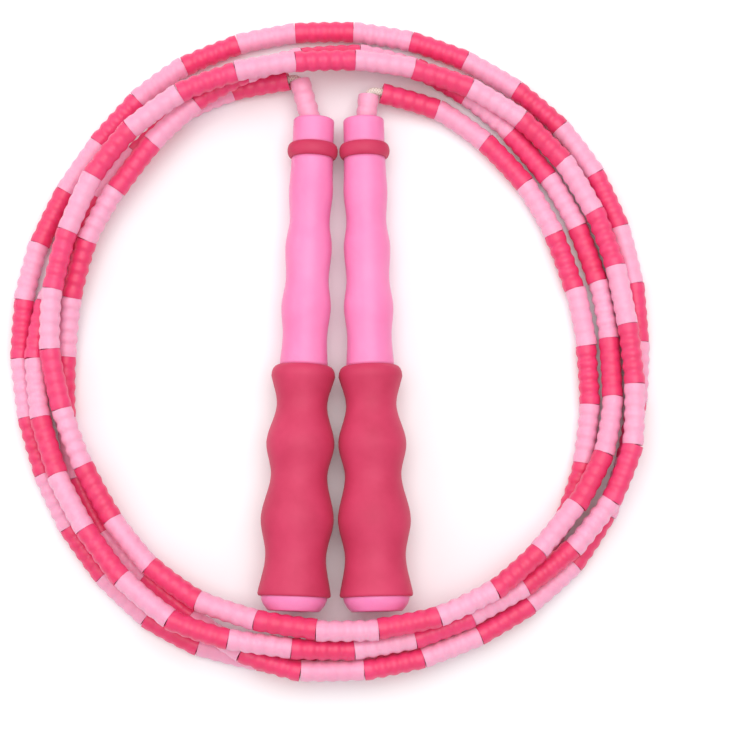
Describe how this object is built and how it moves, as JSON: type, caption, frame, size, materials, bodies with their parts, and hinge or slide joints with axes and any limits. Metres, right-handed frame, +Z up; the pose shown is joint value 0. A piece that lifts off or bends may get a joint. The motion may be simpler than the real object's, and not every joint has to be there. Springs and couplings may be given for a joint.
{
  "type": "jump rope",
  "caption": "Beaded jump rope laid in loose turns around its two contoured handles, each of which spins freely on the rope's end.",
  "frame": {"origin": "on the floor under the middle of the box round the two handles", "axes": "+Z up; +Y towards the handles' noses, where the rope comes out; +X to the right of the pair seen from above with the noses away from the viewer"},
  "size_m": [0.2557, 0.2648, 0.0294],
  "materials": {
    "cord_nylon": "braided, matt",
    "bead_hot_pink": "glossy, slightly translucent",
    "bead_pale_pink": "glossy, slightly translucent",
    "handle_pink": "satin moulded plastic",
    "grip_crimson": "matt soft sleeve",
    "ring_crimson": "matt",
    "washer_nylon": "matt"
  },
  "bodies": {
    "rope": {"cord": "cord_nylon", "left_exit_bead": "bead_pale_pink", "right_exit_bead": "bead_pale_pink", "left_stop_washer": "washer_nylon", "right_stop_washer": "washer_nylon", "left_stop_knot": "cord_nylon", "right_stop_knot": "cord_nylon", "hot_pink_beads_turn_1": "bead_hot_pink", "hot_pink_beads_turn_2": "bead_hot_pink", "hot_pink_beads_turn_3": "bead_hot_pink", "hot_pink_beads_turn_4": "bead_hot_pink", "pale_pink_beads_turn_1": "bead_pale_pink", "pale_pink_beads_turn_2": "bead_pale_pink", "pale_pink_beads_turn_3": "bead_pale_pink", "pale_pink_beads_turn_4": "bead_pale_pink"},
    "left_handle": {"left_nose_bush": "handle_pink", "left_collar_ring": "ring_crimson", "left_handle_tube": "handle_pink", "left_grip_sleeve": "grip_crimson", "left_end_cap": "handle_pink"},
    "right_handle": {"right_nose_bush": "handle_pink", "right_collar_ring": "ring_crimson", "right_handle_tube": "handle_pink", "right_grip_sleeve": "grip_crimson", "right_end_cap": "handle_pink"}
  },
  "joints": [
    {"name": "left_handle_spin", "type": "hinge", "parent": "rope", "child": "left_handle", "pos_m": [-0.0089, 0.0982, 0.00972], "axis": [-0.0375, -0.9989, 0.0285], "continuous": true},
    {"name": "right_handle_spin", "type": "hinge", "parent": "rope", "child": "right_handle", "pos_m": [0.01095, 0.0982, 0.00972], "axis": [0.0267, -0.9992, 0.0285], "continuous": true}
  ]
}
